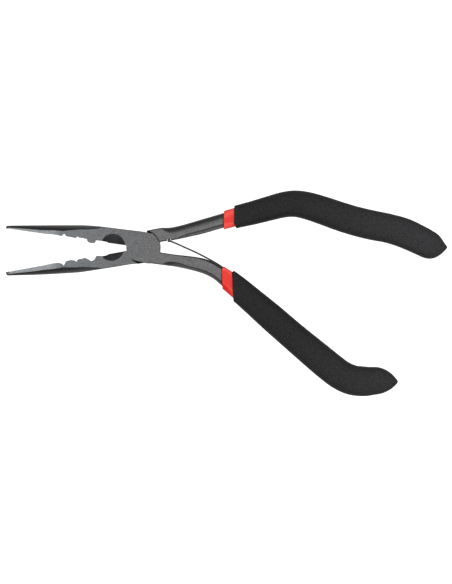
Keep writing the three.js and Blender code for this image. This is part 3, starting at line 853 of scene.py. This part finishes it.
# A painted shadow darkens the steel where it runs in under the red coatings. COLLAR_PLANE is where they start
# at Y = 0, and
# COLLAR_TURN how much further on that is per millimetre of Y.
COLLAR_PLANE = 39.35
COLLAR_TURN = 0.0287
COLLAR_PAINTED_SHADOW = 0.35
COLLAR_SHADOW_LENGTH = 0.8
# A painted shadow blackens the gap between the joint plates: what is within LAP_REACH of the pivot and near
# the middle plane.
LAP_PAINTED_SHADOW = 0.12
LAP_REACH = 9.9
LAP_FADE = 0.2
LAP_DEPTH = (0.15, 0.6)


def forged_steel():
    """Matt ground flats and the darker skin of the forging on every slope, wall and pocket, that skin partly
    painted shade; painted highlights on the tapering jaws; painted shadows under the coatings and between the
    joint plates.
    """
    made, shader = material("forged_steel", metallic=1.0, specular_tint=grey(STEEL_TINT))
    n = Nodes(made)
    x = n.axis(n.place, "X")
    upright = n.math("ABSOLUTE", n.axis(n.facing, "Z"))
    mottle = n.noise(**MOTTLE)
    speckle = n.noise(**SPECKLE)
    # Faces turned away from Z take the skin colour instead of the ground flat's: partly the forging's own
    # darker skin, partly painted shade.
    flat = n.ramp(upright, *FLAT_FACING)
    # Painted highlights on the flats where the jaws taper and along their tips.
    jaw_highlight = n.math(
        "MULTIPLY", n.ramp(x, JAW_HIGHLIGHT_X[1] * MM, JAW_HIGHLIGHT_X[0] * MM, JAW_PAINTED_HIGHLIGHT, 1, smooth=False),
        n.ramp(x, TIP_HIGHLIGHT_X[1] * MM, TIP_HIGHLIGHT_X[0] * MM, TIP_PAINTED_HIGHLIGHT, 1),
    )
    neutral, blue = grey(STEEL_GROUND), grey(STEEL_GROUND, STEEL_BLUE)
    ground = n.scaled(n.mix(n.ramp(x, *BLUE_X), blue, neutral), jaw_highlight)
    jaw_skin_and_shade = n.mix(n.ramp(x, JAW_X[0] * MM, JAW_X[1] * MM), grey(STEEL_RAW_JAW_AND_SHADE), grey(STEEL_POCKET))
    skin = n.mix(n.ramp(x, SHANK_X[0] * MM, SHANK_X[1] * MM), jaw_skin_and_shade, grey(STEEL_RAW_SHANK_AND_SHADE))
    tone = n.mix(flat, skin, ground)
    grain = n.math(
        "ADD", n.ramp(mottle, *NOISE_WIDE, *MOTTLE_SPREAD), n.ramp(speckle, *NOISE_MIDDLE, *SPECKLE_SPREAD),
    )
    # Painted shadow where the steel runs in under the red coatings.
    collar = n.math("SUBTRACT", x, n.math("MULTIPLY", n.axis(n.place, "Y"), COLLAR_TURN))
    collar_shadow = n.ramp(collar, (COLLAR_PLANE - COLLAR_SHADOW_LENGTH) * MM, COLLAR_PLANE * MM, 1, COLLAR_PAINTED_SHADOW)
    # Painted shadow in the gap between the joint plates.
    depth = n.math("ABSOLUTE", n.math("SUBTRACT", n.axis(n.place, "Z"), MIDDLE * MM))
    away = n.ramp(n.length(n.place), LAP_REACH * MM, (LAP_REACH + LAP_FADE) * MM)
    lap_shadow = n.ramp(n.math("MAXIMUM", n.math("MULTIPLY", depth, 1 / MM), away), *LAP_DEPTH, LAP_PAINTED_SHADOW, 1)
    bright = n.math("MULTIPLY", n.math("MULTIPLY", grain, collar_shadow), lap_shadow)
    n.link(n.scaled(tone, bright), shader.inputs["Base Color"])
    n.link(n.ramp(speckle, *NOISE_WIDE, *STEEL_ROUGHNESS), shader.inputs["Roughness"])
    n.link(n.bump(n.noise(**BRUSHING), BRUSHING_DEPTH, BRUSHING_STRENGTH), shader.inputs["Normal"])
    return made


SPRING_STREAK = dict(size_mm=0.3, detail=4, stretch=(0.1, 0.1, 1))
SPRING_DARK, SPRING_LIGHT = grey(0.015), grey(0.035)
SPRING_ROUGHNESS = (0.3, 0.45)
SPRING_STREAK_DEPTH = 0.01
SPRING_STREAK_STRENGTH = 0.5


def spring_steel():
    """A dark satin strip with fine rolling marks along it."""
    made, shader = material("spring_steel", metallic=1.0)
    n = Nodes(made)
    streak = n.noise(**SPRING_STREAK)
    n.link(n.mix(streak, SPRING_DARK, SPRING_LIGHT), shader.inputs["Base Color"])
    n.link(n.ramp(streak, *NOISE_MIDDLE, *SPRING_ROUGHNESS), shader.inputs["Roughness"])
    n.link(n.bump(streak, SPRING_STREAK_DEPTH, SPRING_STREAK_STRENGTH), shader.inputs["Normal"])
    return made


RED_DARK, RED_LIGHT = (0.53, 0.014, 0.009, 1), (0.575, 0.019, 0.013, 1)
RED_PEEL = dict(size_mm=1.6, detail=2)
RED_PEEL_DEPTH, RED_PEEL_STRENGTH = 0.05, 0.4
RED_FINE = dict(size_mm=0.3, detail=3)
RED_FINE_DEPTH, RED_FINE_STRENGTH = 0.015, 0.3
RED_ROUGHNESS = (0.34, 0.42)
RED_GLOSS = dict(specular_ior_level=0.1, coat_weight=0.1, coat_roughness=0.2)
# Painted shade makes the red darker where it turns away from Z, and a painted highlight makes it paler along
# its shoulders, between the two ranges.
RED_SHADE_FACING = (0.7, 0.95)
RED_PAINTED_SHADE = 0.72
RED_PAINTED_HIGHLIGHT = (0.78, 0.12, 0.09, 1)
RED_HIGHLIGHT_SHARE = 0.35
RED_HIGHLIGHT_START, RED_HIGHLIGHT_END = (0.86, 0.93), (0.97, 0.998)


def red_vinyl():
    """Smooth dipped vinyl with a faint orange peel, painted shade where it turns away from Z and a painted
    highlight along its shoulders.
    """
    made, shader = material("red_vinyl", metallic=0, **RED_GLOSS)
    n = Nodes(made)
    peel = n.noise(**RED_PEEL)
    red = n.mix(n.ramp(peel, *NOISE_MIDDLE), RED_DARK, RED_LIGHT)
    upright = n.math("ABSOLUTE", n.axis(n.facing, "Z"))
    # A painted highlight along the shoulders.
    shoulder_highlight = n.math(
        "MULTIPLY", n.ramp(upright, *RED_HIGHLIGHT_START, 0, RED_HIGHLIGHT_SHARE),
        n.ramp(upright, *RED_HIGHLIGHT_END, 1, 0),
    )
    # Painted shade where the red turns away from Z, under the painted highlight.
    tone = n.mix(shoulder_highlight, n.scaled(red, n.ramp(upright, *RED_SHADE_FACING, RED_PAINTED_SHADE, 1)), RED_PAINTED_HIGHLIGHT)
    n.link(tone, shader.inputs["Base Color"])
    n.link(n.ramp(peel, *NOISE_MIDDLE, *RED_ROUGHNESS), shader.inputs["Roughness"])
    fine = n.noise(**RED_FINE)
    skin = n.bump(peel, RED_PEEL_DEPTH, RED_PEEL_STRENGTH)
    n.link(n.bump(fine, RED_FINE_DEPTH, RED_FINE_STRENGTH, skin), shader.inputs["Normal"])
    return made


GRIP_DARK, GRIP_LIGHT = grey(0.003), grey(0.018)
GRIP_HIGHLIGHT_DARK, GRIP_HIGHLIGHT_LIGHT = grey(0.01), grey(0.034, (0.97, 0.98, 1.06))
GRIP_HIGHLIGHT_X = (60, 150)  # a painted highlight makes the grips a little greyer and bluer towards their ends
GRIP_SHADE_FACING = (0.4, 1)  # and painted shade makes them darker where they turn away from Z
GRIP_PAINTED_SHADE = 0.2
GRIP_SPECULAR = 0.12
GRIP_ROUGHNESS = (0.5, 0.8)
GRIP_CELLS = 0.5  # size of the coarse grains
GRIP_CELL_EDGE = (0.1, 0.7)
GRIP_CELL_DEPTH, GRIP_CELL_STRENGTH = 0.12, 0.8
GRIP_FINE = dict(size_mm=0.55, detail=4, roughness=0.7)
GRIP_FINE_DEPTH, GRIP_FINE_STRENGTH = 0.1, 0.6


def black_vinyl():
    """Dipped vinyl with a fine sandpaper-like grain, painted shade where it turns away from Z and a painted
    highlight towards its ends.
    """
    made, shader = material("black_vinyl", metallic=0, specular_ior_level=GRIP_SPECULAR)
    n = Nodes(made)
    grain = n.cells(GRIP_CELLS)
    fine = n.noise(**GRIP_FINE)
    black = n.mix(n.ramp(fine, *NOISE_NARROW), GRIP_DARK, GRIP_LIGHT)
    # A painted highlight, greyer and bluer towards the grips' ends.
    end_highlight = n.mix(n.ramp(fine, *NOISE_NARROW), GRIP_HIGHLIGHT_DARK, GRIP_HIGHLIGHT_LIGHT)
    end_highlight_share = n.ramp(n.axis(n.place, "X"), GRIP_HIGHLIGHT_X[0] * MM, GRIP_HIGHLIGHT_X[1] * MM)
    # Painted shade where the grips turn away from Z.
    upright = n.ramp(n.math("ABSOLUTE", n.axis(n.facing, "Z")), *GRIP_SHADE_FACING, GRIP_PAINTED_SHADE, 1)
    n.link(n.scaled(n.mix(end_highlight_share, black, end_highlight), upright), shader.inputs["Base Color"])
    n.link(n.ramp(fine, *NOISE_MIDDLE, *GRIP_ROUGHNESS), shader.inputs["Roughness"])
    coarse = n.bump(n.ramp(grain, *GRIP_CELL_EDGE, 1, 0), GRIP_CELL_DEPTH, GRIP_CELL_STRENGTH)
    n.link(n.bump(fine, GRIP_FINE_DEPTH, GRIP_FINE_STRENGTH, coarse), shader.inputs["Normal"])
    return made


# ---- Camera, floor and light ----
VIEW_CENTRE = (40.9, -22.0)  # the point of the flat-lying pliers that the camera looks straight down on
VIEW_HEIGHT = 288.3  # what the picture's longer side takes in
LENS = 200
SENSOR = 36
CLIP_END = 20  # in metres
FLOOR_SIDE = 6000  # half the floor's side
FLOOR_DROP = 0.02
FLOOR_GREY = 0.35
FLOOR_GLOW = 1.0
FLOOR_ROUGHNESS = 0.9
SOFTBOX_HEIGHT = 2.4  # in metres, as is its side
SOFTBOX_SIDE = 3.6
SOFTBOX_RADIANCE = 2.5
SURROUNDINGS = 0.45


def add_camera():
    """A long lens straight above the pliers."""
    camera = bpy.data.objects.new("camera", bpy.data.cameras.new("camera"))
    camera.data.lens = LENS
    camera.data.sensor_width = SENSOR
    camera.data.clip_end = CLIP_END
    distance = VIEW_HEIGHT * LENS / SENSOR
    camera.location = Vector((*VIEW_CENTRE, MIDDLE + distance)) * MM
    bpy.context.scene.collection.objects.link(camera)
    bpy.context.scene.camera = camera


def add_floor():
    """A white floor that glows, so that it stays white, just under the pliers."""
    level = cad_low.z / MM - FLOOR_DROP
    corners = [(x * FLOOR_SIDE, y * FLOOR_SIDE, level) for x, y in ((-1, -1), (1, -1), (1, 1), (-1, 1))]
    floor = mesh_object("floor", corners, [(0, 1, 2, 3)])
    floor.data.transform(Matrix.Scale(MM, 4))
    made, shader = material("floor", roughness=FLOOR_ROUGHNESS, emission_strength=FLOOR_GLOW)
    shader.inputs["Base Color"].default_value = grey(FLOOR_GREY)
    shader.inputs["Emission Color"].default_value = grey(1)
    floor.data.materials.append(made)


def add_softbox():
    """One large square softbox overhead, centred on the view."""
    lamp = bpy.data.objects.new("softbox", bpy.data.lights.new("softbox", "AREA"))
    lamp.data.size = SOFTBOX_SIDE
    lamp.data.energy = math.pi * SOFTBOX_SIDE**2 * SOFTBOX_RADIANCE
    lamp.location = (VIEW_CENTRE[0] * MM, VIEW_CENTRE[1] * MM, SOFTBOX_HEIGHT)
    bpy.context.scene.collection.objects.link(lamp)


def add_world():
    """Even white light from all round."""
    world = bpy.data.worlds.new("studio")
    world.use_nodes = True
    background = world.node_tree.nodes["Background"]
    background.inputs["Color"].default_value = grey(1)
    background.inputs["Strength"].default_value = SURROUNDINGS
    bpy.context.scene.world = world
    bpy.context.scene.view_settings.view_transform = "Standard"


# ---- Assembly ----
def dress(piece, made, node):
    """Gives a finished piece its material and hides the CAD node that it stands for."""
    piece.data.materials.clear()
    piece.data.materials.append(made)
    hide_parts(node)
    return piece


def build():
    """All the pieces, each on its body except the spring leaf."""
    steel, spring, red, black = forged_steel(), spring_steel(), red_vinyl(), black_vinyl()
    sleeve = (FIT_GAP, FIT_GAP + SLEEVE_THICKNESS)
    grip = (sleeve[1] + FIT_GAP, sleeve[1] + FIT_GAP + GRIP_THICKNESS)

    room = [
        prism(PLATE_CORNER, MIDDLE - LAP_GAP, JOINT_THICKNESS + PAST),
        leaf(SPRING_THICKNESS + 2 * SPRING_GAP, SPRING_WIDTH + 2 * SPRING_GAP, SPRING_SEAT_SHARE),
        spring_rivet(FIT_GAP),
    ]
    front_lap = (-PAST, MIDDLE + LAP_GAP / 2)
    rear_lap = (MIDDLE - LAP_GAP / 2, JOINT_THICKNESS + PAST)
    half = SPRING_NOTCH_WIDTH / 2
    through = (-PAST, JOINT_THICKNESS + PAST)
    notch = block((SPRING_NOTCH_X - half, SPRING_NOTCH_X + half), (0, SPRING_NOTCH_TOP), through)
    corner = prism(REAR_CORNER, *through)
    edge = prism(PLATE_EDGE, MIDDLE, JOINT_THICKNESS)
    front = lever("front_lever_forging", FRONT_JAW, 1, FRONT_LEAN, lower_handle, front_lap, [edge], room)
    rear = lever("rear_lever_forging", REAR_JAW, -1, REAR_LEAN, upper_handle, rear_lap, [], [notch, corner])
    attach(dress(front, steel, "front_lever"), "front")
    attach(dress(rear, steel, "rear_lever"), "rear")

    rivet = finish_mesh(turned(rivet_profile(0, 0)), "pivot_rivet_body", RIVET_SMOOTH_ANGLE)
    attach(dress(rivet, steel, "pivot_rivet"), "front")

    strip = combined(leaf(SPRING_THICKNESS, SPRING_WIDTH, corner=SPRING_CORNER), "UNION", block(*SPRING_TIP))
    finish_mesh(strip, "return_spring_leaf")
    dress(strip, spring, "return_spring")
    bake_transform(strip)

    small = finish_mesh(spring_rivet(0), "spring_rivet_body")
    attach(dress(small, spring, "spring_rivet"), "front")

    for name, node, handle, layer, front_line, made, slot, body in (
        ("lower_red_dip", "lower_inner_sleeve", lower_handle, sleeve, LOWER_SLEEVE_FRONT,
         red, "red_vinyl", "front"),
        ("upper_red_dip", "upper_inner_sleeve", upper_handle, sleeve, UPPER_SLEEVE_FRONT,
         red, "red_vinyl", "rear"),
        ("lower_black_grip", "lower_outer_grip", lower_handle, grip, LOWER_GRIP_FRONT,
         black, "black_vinyl", "front"),
        ("upper_black_grip", "upper_outer_grip", upper_handle, grip, UPPER_GRIP_FRONT,
         black, "black_vinyl", "rear"),
    ):
        piece = finish_mesh(coating(name, node, handle, *layer, front_line), name, COATING_SMOOTH_ANGLE)
        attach(dress(piece, made, node), body)


add_camera()
add_floor()
add_world()
add_softbox()
build()
